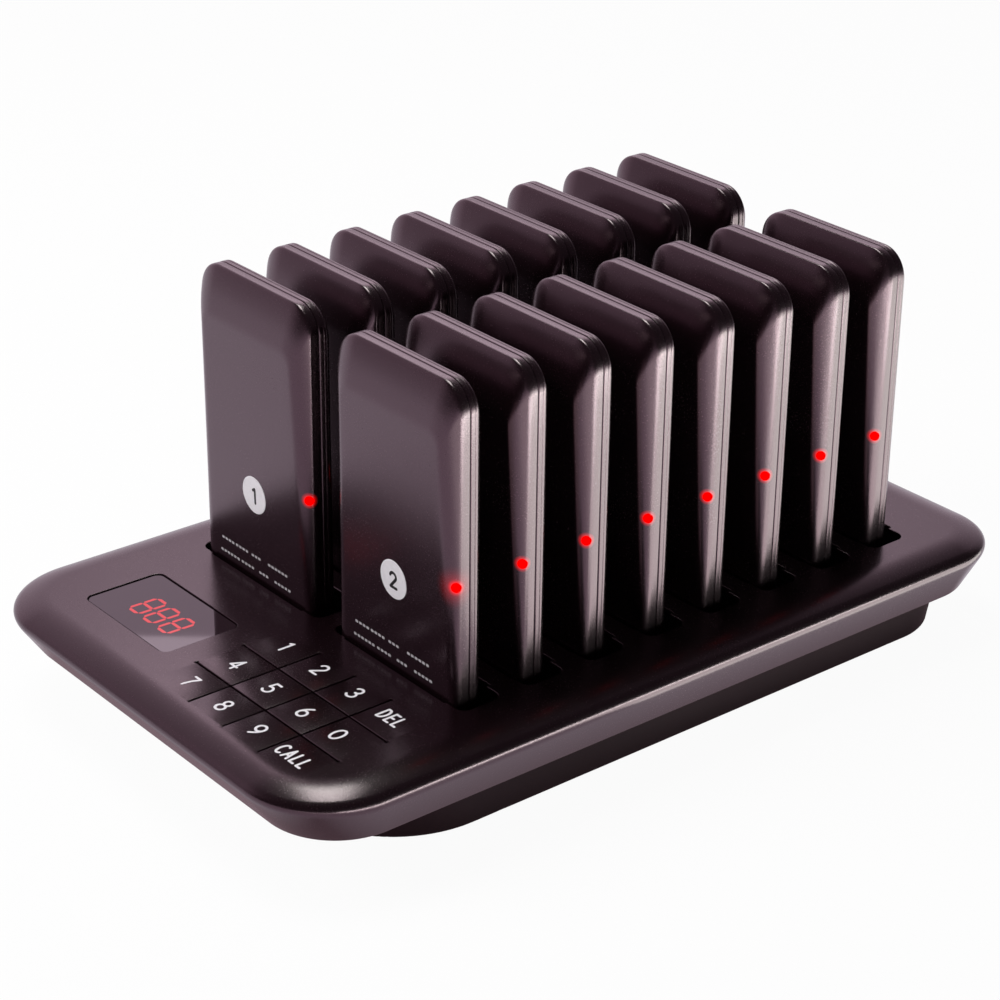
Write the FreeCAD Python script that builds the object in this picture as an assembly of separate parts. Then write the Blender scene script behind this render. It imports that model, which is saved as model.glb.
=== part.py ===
import FreeCAD, Part
import math
import os

# A counter-top guest pager system: a charging base with a keypad and a three-digit display, and
# two columns of numbered pagers that stand upright in its pockets. Millimetres, +Z up. The origin
# is on the counter under the middle of the base; the keypad end faces -Y.

V = FreeCAD.Vector
UP = V(0, 0, 1)

# ---- base: outside ----
base_width = 168.0
base_length = 274.0
tray_top = 32.0            # height of the flat top above the counter
rim_drop = 3.4             # how far the rim lies below the flat top
roll_width = 12.0          # width of the rolled border between the flat top and the rim
rim_front_corner = 28.0
rim_back_corner = 23.0
skirt_height = 13.0
skirt_side_in = 5.0        # the skirt leans inwards by these amounts
skirt_front_in = 9.0
skirt_back_in = 6.0
skirt_corner = 22.0
rim_round = 1.2
cover_wall = 2.2
roll_steps = 5

# ---- base: lower tub ----
tub_side_in = 4.0          # from the skirt's foot to the tub's wall
tub_front_in = 16.0
tub_back_in = 6.5
tub_front_corner = 36.0
tub_back_corner = 24.0
tub_side_draft = 1.5
tub_front_draft = 4.0
tub_bottom_round = 1.5
tub_wall = 2.2
tub_floor = 2.5
flange_thickness = 2.0
flange_recess = 0.3        # the flange lies this far above the skirt's foot
flange_gap = 0.3           # between the flange's edge and the skirt

# ---- feet ----
foot_radius = 6.0
foot_proud = 2.0
foot_sunk = 1.0
foot_from_side = 32.0
foot_from_front = 63.0
foot_from_back = 37.0

# ---- pagers ----
column_gap = 13.4          # between the two columns of pagers
row_count = 8
rows_from_front = 75.1     # from the rim to the rear edge of the first row's side band
rows_from_back = 37.9      # from the last row's rear edge to the rim
pager_width = 54.5
pager_height = 108.0
pager_sunk = 13.6          # part of the pager below the tray's top
pager_corner = 8.5
front_band = 3.0           # straight side of the front shell
rear_band = 2.4
parting_gap = 0.3
pager_wall = 1.8
panel_proud_top = 4.1      # the front panel is a wedge, thicker towards its top
panel_proud_foot = 1.45
panel_inset_top = 5.3
panel_inset_foot = 2.1
panel_drop = 14.0          # from the pager's top to the panel's upper edge
panel_foot_drop = 3.0
panel_corner = 4.5
panel_round = 0.8          # rounding of the panels' edges
back_proud = 4.05
back_inset = 5.4
back_drop = 8.0
lip_height = 1.2           # locating lip of the rear shell, inside the front shell
lip_wall = 0.8
lip_gap = 0.15

# ---- inside a pager ----
board_thickness = 1.2
board_side_gap = 3.0
board_end_gap = 7.0
board_standoff = 1.4
battery_size = (34.0, 4.0, 24.0)
battery_height = 62.0      # middle of the battery above the pager's foot
motor_radius = 5.0
motor_thickness = 2.7
motor_height = 35.0
lamp_radius = 1.4
lamp_height = 49.6         # middle of the light guide above the pager's foot
lamp_proud = 0.15
pad_size = (5.0, 2.0, 0.8)
pad_spacing = 24.0
pad_recess = 0.3

# ---- pockets ----
slot_side_gap = 3.2        # clearance beside the pager
slot_front_gap = 0.85      # clearance in front of the panel
slot_back_gap = 3.95
slot_front_notch = 0.6     # the slot is longer by these amounts where the panels pass
slot_back_notch = 1.4
slot_notch_in = 7.2
slot_corner = 3.0
pocket_wall = 1.6
rack_floor = 2.0
rack_end = 1.0

# ---- keypad ----
key_columns = 4
key_rows = 3
key_from_left = 80.7
key_from_right = 20.18
key_from_front = 12.1
key_depth_outer = 14.0
key_depth_middle = 16.0
slit_width = 0.8
key_post_radius = 1.5
key_post_depth = 3.1
key_rib_depth = 1.2
key_rib_width = 1.2
key_rib_in = 2.6

# ---- display ----
window_from_left = 48.9    # to the window's middle
window_from_front = 34.8
window_width = 42.4
window_depth = 27.3
window_corner = 4.5
window_thickness = 1.5
window_gap = 0.3
window_ledge = 2.0
module_size = (22.6, 14.0)
module_gap = 0.3           # under the window

# ---- boards of the base ----
circuit_thickness = 1.6
main_board_top = 23.6
main_board_from_left = 21.0
main_board_from_right = 11.0
main_board_from_front = 16.0
main_board_depth = 40.0
main_board_corner = 12.0
board_screw_side_in = 4.5
board_screw_front_in = 10.0
board_screw_back_in = 3.5
switch_size = 6.2
switch_well_radius = 2.1
switch_well_depth = 0.9    # the key's post reaches this far into its switch
switch_travel_gap = 0.6    # left under the post with the key up
charge_board_gap = 1.8     # below the pockets' floor
charge_board_side = 23.05  # past the middle of a column
charge_board_front = 8.1   # ahead of the first row
charge_board_back = 7.4    # behind the last row
charge_pin_radius = 0.8
charge_pin_collar = 1.4
charge_pin_gap = 0.25
post_radius = 3.2
board_post_radius = 2.8
ribbon_width = 20.0
ribbon_thickness = 0.6
ribbon_x = -18.0
ribbon_bend = 2.0
buzzer_radius = 6.0
buzzer_height = 5.2
buzzer_from_left = 64.0
buzzer_from_front = 50.5
antenna_radius = 0.6
antenna_length = 46.0
antenna_from_left = 28.0
antenna_from_front = 19.5
antenna_rise = 3.0

# ---- fasteners ----
screw_radius = 1.45
screw_length = 18.0
screw_head_radius = 2.9
screw_head_height = 2.0
screw_head_recess = 2.6
screw_clearance = 0.25
front_screw_from_side = 20.5
front_screw_from_front = 59.8
back_screw_from_side = 34.0
back_screw_from_back = 22.0
small_screw_radius = 1.0
small_screw_length = 4.0
small_head_radius = 2.0
small_head_height = 1.2
rack_post_in = 4.5         # from the rack's side

# ---- power inlet ----
jack_x = -25.0
jack_width = 9.0
jack_depth = 14.0
jack_height = 8.0
jack_nose_radius = 3.7
jack_bore_radius = 2.75
jack_bore_depth = 9.5
jack_pin_radius = 1.0
jack_wall_gap = 0.25
jack_tongue = 16.0

# ---- heights and places that follow ----
half_width = base_width / 2
half_length = base_length / 2
rim_z = tray_top - rim_drop
skirt_foot_z = rim_z - skirt_height
cover_under = tray_top - cover_wall
tub_bottom = foot_proud
flange_z = skirt_foot_z + flange_recess
flange_top = flange_z + flange_thickness
pocket_floor = tray_top - pager_sunk
rack_bottom = pocket_floor - rack_floor
charge_board_top = rack_bottom - charge_board_gap
charge_board_bottom = charge_board_top - circuit_thickness
main_board_bottom = main_board_top - circuit_thickness
first_row_y = -half_length + rows_from_front
last_row_y = half_length - rows_from_back
row_pitch = (last_row_y - first_row_y) / (row_count - 1)
column_x = (pager_width + column_gap) / 2
band_depth = front_band + rear_band
band_middle = -rear_band - front_band / 2
slot_half = pager_width / 2 + slot_side_gap
slot_notch_half = pager_width / 2 + slot_side_gap - slot_notch_in
rack_half = column_x + slot_half + pocket_wall
charge_board_x = column_x + charge_board_side
charge_board_y = (first_row_y - charge_board_front, last_row_y + charge_board_back)
key_front = -half_length + key_from_front
key_back = key_front + 2 * key_depth_outer + key_depth_middle
key_left = -half_width + key_from_left
key_right = half_width - key_from_right
key_width = (key_right - key_left) / key_columns
window_x = -half_width + window_from_left
window_y = -half_length + window_from_front
main_board_x = (-half_width + main_board_from_left, half_width - main_board_from_right)
main_board_y = (-half_length + main_board_from_front,
                -half_length + main_board_from_front + main_board_depth)
key_names = [["7", "8", "9", "call"], ["4", "5", "6", "0"], ["1", "2", "3", "del"]]


# ---- outlines ----
def rounded_wire(corners, radii, place):
    """A closed wire through the corners, each rounded by its own radius, put in space by place(a, b)."""
    count = len(corners)
    starts, middles, ends = [], [], []
    for i, (a, b) in enumerate(corners):
        before, after = corners[i - 1], corners[(i + 1) % count]
        u = V(before[0] - a, before[1] - b, 0).normalize()
        w = V(after[0] - a, after[1] - b, 0).normalize()
        half = u.getAngle(w) / 2
        setback = radii[i] / math.tan(half)
        here = V(a, b, 0)
        bisector = (u + w).normalize()
        centre = here + bisector * (radii[i] / math.sin(half))
        starts.append(here + u * setback)
        middles.append(centre - bisector * radii[i])
        ends.append(here + w * setback)
    edges = []
    for i in range(count):
        p, q, r = [place(k.x, k.y) for k in (starts[i], middles[i], ends[i])]
        following = starts[(i + 1) % count]
        edges.append(Part.Arc(p, q, r).toShape())
        edges.append(Part.makeLine(r, place(following.x, following.y)))
    return Part.Wire(edges)


def level(z):
    """Puts an outline flat at height z."""
    return lambda a, b: V(a, b, z)


def upright(y):
    """Stands an outline up in the plane at depth y."""
    return lambda a, b: V(a, y, b)


def rectangle(x0, x1, y0, y1):
    return [(x0, y0), (x1, y0), (x1, y1), (x0, y1)]


def prism(wire, direction):
    return Part.Face(wire).extrude(direction)


def block(x0, x1, y0, y1, z0, z1):
    return Part.makeBox(x1 - x0, y1 - y0, z1 - z0, V(x0, y0, z0))


def rod(radius, x, y, z0, z1):
    return Part.makeCylinder(radius, z1 - z0, V(x, y, z0), UP)


def base_outline(side_in, front_in, back_in, front_corner, back_corner, z):
    """A level outline of the base, drawn in from the rim on each side."""
    corners = rectangle(-half_width + side_in, half_width - side_in,
                        -half_length + front_in, half_length - back_in)
    radii = [front_corner, front_corner, back_corner, back_corner]
    return rounded_wire(corners, radii, level(z))


def rim_outline(inset, z):
    return base_outline(inset, inset, inset, rim_front_corner - inset, rim_back_corner - inset, z)


def skirt_outline(inset, z):
    """The skirt's foot, drawn in evenly by inset."""
    corner = skirt_corner - inset
    return base_outline(skirt_side_in + inset, skirt_front_in + inset, skirt_back_in + inset,
                        corner, corner, z)


def tub_outline(inset, draft_share, z):
    """The tub's wall: draft_share is 0 at its top and 1 at its bottom."""
    side = skirt_side_in + tub_side_in + tub_side_draft * draft_share + inset
    front = skirt_front_in + tub_front_in + tub_front_draft * draft_share + inset
    back = skirt_back_in + tub_back_in + tub_side_draft * draft_share + inset
    return base_outline(side, front, back, tub_front_corner - inset, tub_back_corner - inset, z)


def roll_height(inset):
    """Height of the rolled border: a parabola that meets the flat top level."""
    return tray_top - rim_drop * (1 - inset / roll_width) ** 2


def level_edges(body, z):
    """The body's edges that lie wholly at height z."""
    near = rim_drop / 100
    return [e for e in body.Edges if abs(e.BoundBox.ZMin - z) < near and abs(e.BoundBox.ZMax - z) < near]


# ---- where things repeat ----
def pager_places():
    """(number, x, y) of each pager: odd numbers on the left, even on the right, front row first."""
    places = []
    for row in range(row_count):
        for side in (-1, 1):
            number = 2 * row + (1 if side < 0 else 2)
            places.append((number, side * column_x, first_row_y + row * row_pitch))
    return places


def cover_screw_places():
    front_x, back_x = half_width - front_screw_from_side, half_width - back_screw_from_side
    front = [(x, -half_length + front_screw_from_front) for x in (-front_x, 0, front_x)]
    back = [(x, half_length - back_screw_from_back) for x in (-back_x, 0, back_x)]
    return front + back


def main_board_screw_places():
    (left, right), (front, back) = main_board_x, main_board_y
    return [(x, y) for x in (left + board_screw_side_in, right - board_screw_side_in)
            for y in (front + board_screw_front_in, back - board_screw_back_in)]


def charge_board_screw_places():
    inset = 2 * board_post_radius
    return [(x, y) for x in (-charge_board_x + inset, charge_board_x - inset)
            for y in (charge_board_y[0] + inset, charge_board_y[1] - inset)]


def charge_pin_places():
    return [(x + side * pad_spacing / 2, y + band_middle)
            for _, x, y in pager_places() for side in (-1, 1)]


def rack_post_places():
    x = rack_half - rack_post_in
    return [(side * x, y) for side in (-1, 1) for y in (first_row_y, last_row_y)]


def key_cell(column, row):
    """The key's outline, x0, x1, y0, y1: slits only between keys, none along the pad's outer edge."""
    depths = [key_depth_outer, key_depth_middle, key_depth_outer]
    x0 = key_left + column * key_width
    y0 = key_front + sum(depths[:row])
    x1, y1 = x0 + key_width, y0 + depths[row]
    half = slit_width / 2
    return (x0 + (half if column > 0 else 0), x1 - (half if column < key_columns - 1 else 0),
            y0 + (half if row > 0 else 0), y1 - (half if row < key_rows - 1 else 0))


def key_places():
    """(name, column, row, middle x, middle y) of each key."""
    depths = [key_depth_outer, key_depth_middle, key_depth_outer]
    places = []
    for row in range(key_rows):
        middle = key_front + sum(depths[:row]) + depths[row] / 2
        for column in range(key_columns):
            places.append((key_names[row][column], column, row,
                           key_left + (column + 0.5) * key_width, middle))
    return places


# ---- top cover ----
def slot_wire(x, y, grow, z):
    """A pager's slot: a rounded rectangle, longer in the middle where the raised panels pass."""
    half, notch = slot_half + grow, slot_notch_half + grow
    front = y - band_depth - panel_proud_at(tray_top) - slot_front_gap - grow
    back = y + back_proud + slot_back_gap + grow
    inner_front, inner_back = front + slot_front_notch, back - slot_back_notch
    right = [(notch, front), (notch, inner_front), (half, inner_front),
             (half, inner_back), (notch, inner_back), (notch, back)]
    left = [(-a, b) for a, b in reversed(right)]
    tight, wide = slot_front_notch / 2 - parting_gap / 2, slot_back_notch / 3
    radii = [tight, tight, slot_corner, slot_corner, wide, wide]
    return rounded_wire([(x + a, b) for a, b in right + left], radii + radii, level(z))


def panel_proud_at(z):
    """How far the front panel stands out at height z of the assembled part."""
    span = pager_height - panel_drop - panel_foot_drop
    share = (z - pocket_floor - panel_foot_drop) / span
    return panel_proud_foot + (panel_proud_top - panel_proud_foot) * share


def cover_outside():
    skirt = Part.makeLoft([skirt_outline(0, skirt_foot_z), rim_outline(0, rim_z)], True, True)
    insets = [roll_width * k / roll_steps for k in range(roll_steps + 1)]
    roll = Part.makeLoft([rim_outline(s, roll_height(s)) for s in insets], True, False)
    body = skirt.fuse(roll).removeSplitter()
    return body.makeFillet(rim_round, level_edges(body, rim_z))


def cover_inside():
    shoulder = rim_z - cover_wall / 2
    lean = cover_wall
    low = Part.makeLoft([skirt_outline(lean, skirt_foot_z), rim_outline(lean, shoulder)], True, True)
    high = Part.makeLoft([rim_outline(lean, shoulder), rim_outline(roll_width - lean, cover_under)],
                         True, True)
    return low.fuse(high)


def window_wire(grow, z):
    corners = rectangle(window_x - window_width / 2 - grow, window_x + window_width / 2 + grow,
                        window_y - window_depth / 2 - grow, window_y + window_depth / 2 + grow)
    return rounded_wire(corners, [window_corner + grow] * 4, level(z))


def make_top_cover():
    cover = cover_outside().cut(cover_inside())
    cuts = [prism(slot_wire(x, y, 0, cover_under), UP * cover_wall) for _, x, y in pager_places()]
    cuts.append(block(key_left, key_right, key_front, key_back, cover_under, tray_top))
    cuts.append(prism(window_wire(window_gap, tray_top - window_thickness), UP * window_thickness))
    cuts.append(prism(window_wire(-window_ledge, cover_under), UP * cover_wall))
    cover = cover.cut(cuts)
    bosses = [rod(post_radius, x, y, flange_top, cover_under) for x, y in cover_screw_places()]
    bosses += [rod(board_post_radius, x, y, main_board_top, cover_under)
               for x, y in main_board_screw_places()]
    pilots = [rod(screw_radius, x, y, flange_top, screw_tip_z()) for x, y in cover_screw_places()]
    pilots += [rod(small_screw_radius, x, y, main_board_top, small_tip(main_board_bottom))
               for x, y in main_board_screw_places()]
    return cover.fuse(bosses).cut(pilots)


def screw_head_z():
    return tub_bottom + screw_head_recess


def screw_tip_z():
    return screw_head_z() + screw_head_height + screw_length


def small_tip(seat):
    return seat + small_screw_length


# ---- bottom cover ----
def make_bottom_cover():
    tub = Part.makeLoft([tub_outline(0, 1, tub_bottom), tub_outline(0, 0, flange_z)], True, True)
    tub = tub.makeFillet(tub_bottom_round, level_edges(tub, tub_bottom))
    flange = prism(skirt_outline(cover_wall + flange_gap, flange_z), UP * flange_thickness)
    floor = tub_bottom + tub_floor
    share = 1 - tub_floor / (flange_z - tub_bottom)
    hollow = Part.makeLoft([tub_outline(tub_wall, share, floor), tub_outline(tub_wall, 0, flange_z)],
                           True, True)
    mouth = prism(tub_outline(tub_wall, 0, flange_z), UP * flange_thickness)
    cover = tub.fuse(flange).cut([hollow, mouth])
    posts = [rod(post_radius + tub_wall / 2, x, y, tub_bottom, flange_top)
             for x, y in cover_screw_places()]
    posts += [rod(post_radius, x, y, tub_bottom, rack_bottom) for x, y in rack_post_places()]
    cover = cover.fuse(posts)
    cuts = []
    for x, y in cover_screw_places():
        cuts.append(rod(screw_head_radius + screw_clearance, x, y, tub_bottom,
                        screw_head_z() + screw_head_height))
        cuts.append(rod(screw_radius + screw_clearance, x, y, tub_bottom, flange_top))
    cuts += [rod(foot_radius, x, y, tub_bottom, tub_bottom + foot_sunk) for x, y in foot_places()]
    cuts.append(Part.makeCylinder(jack_nose_radius + jack_wall_gap, jack_depth,
                                  V(jack_x, jack_nose_y(), jack_axis_z()), V(0, 1, 0)))
    return cover.cut(cuts)


def foot_places():
    x = half_width - foot_from_side
    return [(side * x, y) for side in (-1, 1)
            for y in (-half_length + foot_from_front, half_length - foot_from_back)]


def make_feet():
    return [rod(foot_radius, x, y, 0, foot_proud + foot_sunk) for x, y in foot_places()]


def make_cover_screws():
    screws = []
    for x, y in cover_screw_places():
        head = rod(screw_head_radius, x, y, screw_head_z(), screw_head_z() + screw_head_height)
        shank = rod(screw_radius, x, y, screw_head_z(), screw_tip_z())
        screws.append(head.fuse(shank).removeSplitter())
    return screws


# ---- charging rack, board and pins ----
def rack_extent():
    first = first_row_y - band_depth - panel_proud_at(tray_top) - slot_front_gap
    last = last_row_y + back_proud + slot_back_gap
    return first - pocket_wall - rack_end, last + pocket_wall + rack_end


def make_charging_rack():
    y0, y1 = rack_extent()
    floor = block(-rack_half, rack_half, y0, y1, rack_bottom, pocket_floor)
    walls = [prism(slot_wire(x, y, pocket_wall, pocket_floor), UP * (cover_under - pocket_floor))
             for _, x, y in pager_places()]
    spacers = [rod(board_post_radius, x, y, charge_board_top, rack_bottom)
               for x, y in charge_board_screw_places()]
    rack = floor.fuse(walls + spacers)
    cuts = [prism(slot_wire(x, y, 0, pocket_floor), UP * (cover_under - pocket_floor))
            for _, x, y in pager_places()]
    cuts += [rod(charge_pin_collar + charge_pin_gap, x, y, rack_bottom, pocket_floor)
             for x, y in charge_pin_places()]
    cuts += [rod(small_screw_radius, x, y, charge_board_top, small_tip(charge_board_bottom))
             for x, y in charge_board_screw_places()]
    return rack.cut(cuts)


def make_charging_board():
    front, back = charge_board_y
    board = block(-charge_board_x, charge_board_x, front, back, charge_board_bottom, charge_board_top)
    tongue = block(jack_x - jack_tongue / 2, jack_x + jack_tongue / 2, back,
                   jack_back_y(), charge_board_bottom, charge_board_top)
    holes = [rod(small_screw_radius, x, y, charge_board_bottom, charge_board_top)
             for x, y in charge_board_screw_places()]
    return board.fuse(tongue).removeSplitter().cut(holes)


def make_charging_pins():
    pins = []
    for x, y in charge_pin_places():
        collar = rod(charge_pin_collar, x, y, charge_board_top, pocket_floor - rack_floor / 2)
        tip = rod(charge_pin_radius, x, y, charge_board_top, pocket_floor)
        pins.append(collar.fuse(tip).removeSplitter())
    return pins


def make_board_screws():
    screws = []
    seats = [(p, main_board_bottom) for p in main_board_screw_places()]
    seats += [(p, charge_board_bottom) for p in charge_board_screw_places()]
    for (x, y), seat in seats:
        head = rod(small_head_radius, x, y, seat - small_head_height, seat)
        shank = rod(small_screw_radius, x, y, seat, small_tip(seat))
        screws.append(head.fuse(shank).removeSplitter())
    return screws


# ---- main board and what it carries ----
def make_main_board():
    corners = rectangle(*main_board_x, *main_board_y)
    back_corner = board_post_radius / 2
    radii = [main_board_corner, main_board_corner, back_corner, back_corner]
    board = prism(rounded_wire(corners, radii, level(main_board_bottom)), UP * circuit_thickness)
    return board.cut([rod(small_screw_radius, x, y, main_board_bottom, main_board_top)
                      for x, y in main_board_screw_places()])


def make_key_switches():
    half = switch_size / 2
    post_end = cover_under - key_post_depth
    top = post_end + switch_well_depth
    switches = []
    for _, _, _, x, y in key_places():
        body = block(x - half, x + half, y - half, y + half, main_board_top, top)
        switches.append(body.cut(rod(switch_well_radius, x, y, post_end - switch_travel_gap, top)))
    return switches


def make_display_module():
    top = tray_top - window_thickness - module_gap
    x, y = window_x, window_y
    width, depth = module_size
    return block(x - width / 2, x + width / 2, y - depth / 2, y + depth / 2, main_board_top, top)


def make_display_window():
    return prism(window_wire(0, tray_top - window_thickness), UP * window_thickness)


def make_buzzer():
    return rod(buzzer_radius, -half_width + buzzer_from_left, -half_length + buzzer_from_front,
               main_board_top, main_board_top + buzzer_height)


def make_antenna():
    x, y = -half_width + antenna_from_left, -half_length + antenna_from_front
    stem = rod(antenna_radius, x, y, main_board_top, main_board_top + antenna_rise)
    elbow = Part.makeSphere(antenna_radius, V(x, y, main_board_top + antenna_rise))
    arm = Part.makeCylinder(antenna_radius, antenna_length, V(x, y, main_board_top + antenna_rise),
                            V(1, 0, 0))
    return stem.fuse([elbow, arm]).removeSplitter()


def make_board_ribbon():
    """A flat lead from the charging board's front edge up to the main board's underside."""
    low = charge_board_top
    start = charge_board_y[0] + ribbon_bend
    turn = main_board_y[1] - ribbon_bend
    path = [(start, low), (turn, low), (turn, main_board_bottom),
            (turn + ribbon_thickness, main_board_bottom),
            (turn + ribbon_thickness, low + ribbon_thickness), (start, low + ribbon_thickness)]
    sharp = ribbon_thickness / 10
    radii = [sharp, ribbon_bend, sharp, sharp, ribbon_bend - ribbon_thickness, sharp]
    wire = rounded_wire(path, radii, lambda a, b: V(ribbon_x - ribbon_width / 2, a, b))
    return prism(wire, V(ribbon_width, 0, 0))


# ---- power inlet ----
def jack_back_y():
    """The inside of the tub's back wall, where the jack's body stops."""
    return half_length - skirt_back_in - tub_back_in - tub_side_draft - tub_wall


def jack_nose_y():
    return jack_back_y() - jack_wall_gap


def jack_axis_z():
    return charge_board_bottom - jack_height / 2


def make_power_jack():
    back = jack_nose_y()
    body = block(jack_x - jack_width / 2, jack_x + jack_width / 2, back - jack_depth, back,
                 charge_board_bottom - jack_height, charge_board_bottom)
    mouth = back + jack_wall_gap + tub_wall
    along = V(0, 1, 0)
    nose = Part.makeCylinder(jack_nose_radius, mouth - back, V(jack_x, back, jack_axis_z()), along)
    bottom = V(jack_x, mouth - jack_bore_depth, jack_axis_z())
    bore = Part.makeCylinder(jack_bore_radius, jack_bore_depth, bottom, along)
    pin = Part.makeCylinder(jack_pin_radius, jack_bore_depth - jack_pin_radius, bottom, along)
    return body.fuse(nose).removeSplitter().cut(bore.cut(pin))


# ---- keys ----
def make_key(column, row, x, y):
    """A tongue of the top: plate, stiffening ribs and a post that works the switch."""
    x0, x1, y0, y1 = key_cell(column, row)
    plate = block(x0, x1, y0, y1, cover_under, tray_top)
    rib = cover_under - key_rib_depth
    ribs = [block(x - key_rib_width / 2, x + key_rib_width / 2, y0 + key_rib_in, y1 - key_rib_in,
                  rib, cover_under),
            block(x0 + key_rib_in, x1 - key_rib_in, y - key_rib_width / 2, y + key_rib_width / 2,
                  rib, cover_under)]
    post = rod(key_post_radius, x, y, cover_under - key_post_depth, cover_under)
    return plate.fuse(ribs + [post]).removeSplitter()


# ---- pager ----
def pager_outline(inset, y):
    """The pager's outline seen from the front, standing at depth y."""
    corners = rectangle(-pager_width / 2 + inset, pager_width / 2 - inset, inset, pager_height - inset)
    return rounded_wire(corners, [pager_corner - inset] * 4, upright(y))


def front_panel_outline(inset):
    """The wedge-shaped panel's face; inset draws it in and sets it back, for the hollow behind it."""
    foot, top = panel_foot_drop, pager_height - panel_drop
    low, high = pager_width / 2 - panel_inset_foot, pager_width / 2 - panel_inset_top
    front = -band_depth + inset

    def place(a, b):
        share = (b - foot) / (top - foot)
        return V(a, front - panel_proud_foot - (panel_proud_top - panel_proud_foot) * share, b)

    corners = [(-low + inset, foot + inset), (low - inset, foot + inset),
               (high - inset, top - inset), (-high + inset, top - inset)]
    return rounded_wire(corners, [panel_corner] * 4, place)


def back_panel_outline(inset):
    corners = rectangle(-pager_width / 2 + back_inset + inset, pager_width / 2 - back_inset - inset,
                        panel_foot_drop + inset, pager_height - back_drop - inset)
    return rounded_wire(corners, [panel_corner] * 4, upright(back_proud - inset))


def half_body(inset, parting, band_end, panel, rounding=0):
    """Half a pager: its straight band from the parting plane, then the bevels up to the panel."""
    band = prism(pager_outline(inset, parting), V(0, band_end - parting, 0))
    bevels = Part.makeLoft([pager_outline(inset, band_end), panel], True, True)
    if rounding:
        rounded = [e for e in bevels.Edges if beyond(e, band_end)]
        bevels = bevels.makeFillet(rounding, rounded)
    return band.fuse(bevels)


def beyond(edge, y):
    """Whether the edge lies wholly on the panel's side of depth y."""
    near = panel_round / 100
    box = edge.BoundBox
    return box.YMax < y - near if y < 0 else box.YMin > y + near


def lamp_axis():
    """Where the light guide comes out of the right-hand bevel, and the bevel's outward normal."""
    share = (lamp_height - panel_foot_drop) / (pager_height - panel_drop - panel_foot_drop)
    proud = panel_proud_foot + (panel_proud_top - panel_proud_foot) * share
    inset = panel_inset_foot + (panel_inset_top - panel_inset_foot) * share
    at = V(pager_width / 2 - inset / 2, -band_depth - proud / 2, lamp_height)
    return at, V(proud, -inset, 0).normalize()


def make_lamp():
    at, out = lamp_axis()
    length = pager_wall + 2 * lamp_proud
    return Part.makeCylinder(lamp_radius, length, at - out * (length - lamp_proud), out)


def charge_pads(grow, depth):
    width, across, _ = pad_size
    low, high = depth
    return [block(side * pad_spacing / 2 - width / 2 - grow, side * pad_spacing / 2 + width / 2 + grow,
                  band_middle - across / 2 - grow, band_middle + across / 2 + grow, low, high)
            for side in (-1, 1)]


def make_pager_front():
    """The front shell, with its light guide and its two charging contacts."""
    parting = -rear_band - parting_gap
    outside = half_body(0, parting, -band_depth, front_panel_outline(0), panel_round)
    inside = half_body(pager_wall, parting, -band_depth, front_panel_outline(pager_wall))
    pad_top = pad_recess + pad_size[2]
    shell = outside.cut([inside, make_lamp()] + charge_pads(0, (0, pad_top)))
    return [shell, make_lamp()] + charge_pads(0, (pad_recess, pad_top))


def make_pager_rear():
    """The rear shell, with the board, battery and vibrating motor that it carries."""
    outside = half_body(0, -rear_band, 0, back_panel_outline(0), panel_round)
    inside = half_body(pager_wall, -rear_band, 0, back_panel_outline(pager_wall))
    shell = outside.cut(inside)
    lip_outer = pager_wall + lip_gap
    lip_out = prism(pager_outline(lip_outer, -rear_band), V(0, -parting_gap - lip_height, 0))
    lip_in = prism(pager_outline(lip_outer + lip_wall, -rear_band), V(0, -parting_gap - lip_height, 0))
    seat = prism(pager_outline(pager_wall, -rear_band), V(0, lip_wall, 0)).cut(
        prism(pager_outline(lip_outer + lip_wall, -rear_band), V(0, lip_wall, 0)))
    inner_face = back_proud - pager_wall
    board_back = inner_face - board_standoff
    board_front = board_back - board_thickness
    half = pager_width / 2 - pager_wall - board_side_gap
    low, high = board_end_gap, pager_height - board_end_gap - back_drop
    board = block(-half, half, board_front, board_back, low, high)
    posts = [Part.makeCylinder(board_post_radius / 2, board_standoff, V(x, board_back, z), V(0, 1, 0))
             for x in (-half + board_post_radius, half - board_post_radius)
             for z in (low + board_post_radius, high - board_post_radius)]
    shell = shell.fuse([lip_out.cut(lip_in), seat] + posts)
    wide, thick, tall = battery_size
    battery = block(-wide / 2, wide / 2, board_front - thick, board_front,
                    battery_height - tall / 2, battery_height + tall / 2)
    motor = Part.makeCylinder(motor_radius, motor_thickness, V(0, board_front, motor_height),
                              V(0, -1, 0))
    return [shell, board, battery, motor]


# ---- write every piece ----
def save(name, solids):
    shape = Part.makeCompound(solids) if isinstance(solids, list) else solids
    shape.exportStep("parts/" + name + ".step")
    bad = [s for s in shape.Solids if not s.isValid()]
    print(name, "solids", len(shape.Solids), "volume", round(shape.Volume, 1), "BAD" if bad else "")


os.makedirs("parts", exist_ok=True)

save("top_cover", make_top_cover())
save("bottom_cover", make_bottom_cover())
save("charging_rack", make_charging_rack())
save("charging_board", make_charging_board())
save("charging_pins", make_charging_pins())
save("main_board", make_main_board())
save("key_switches", make_key_switches())
save("display_window", make_display_window())
save("display_module", make_display_module())
save("buzzer", make_buzzer())
save("antenna", make_antenna())
save("board_ribbon", make_board_ribbon())
save("power_jack", make_power_jack())
save("cover_screws", make_cover_screws())
save("board_screws", make_board_screws())
save("rubber_feet", make_feet())

for name, column, row, x, y in key_places():
    save("key_" + name, make_key(column, row, x, y))

front_pieces, rear_pieces = make_pager_front(), make_pager_rear()
for number, x, y in pager_places():
    at = V(x, y, pocket_floor)
    save("pager_%02d_front" % number, [s.translated(at) for s in front_pieces])
    save("pager_%02d_rear" % number, [s.translated(at) for s in rear_pieces])
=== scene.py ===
import math
import bmesh
import bpy
import numpy as np
from mathutils import Matrix, Vector
from mathutils.geometry import delaunay_2d_cdt


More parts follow.
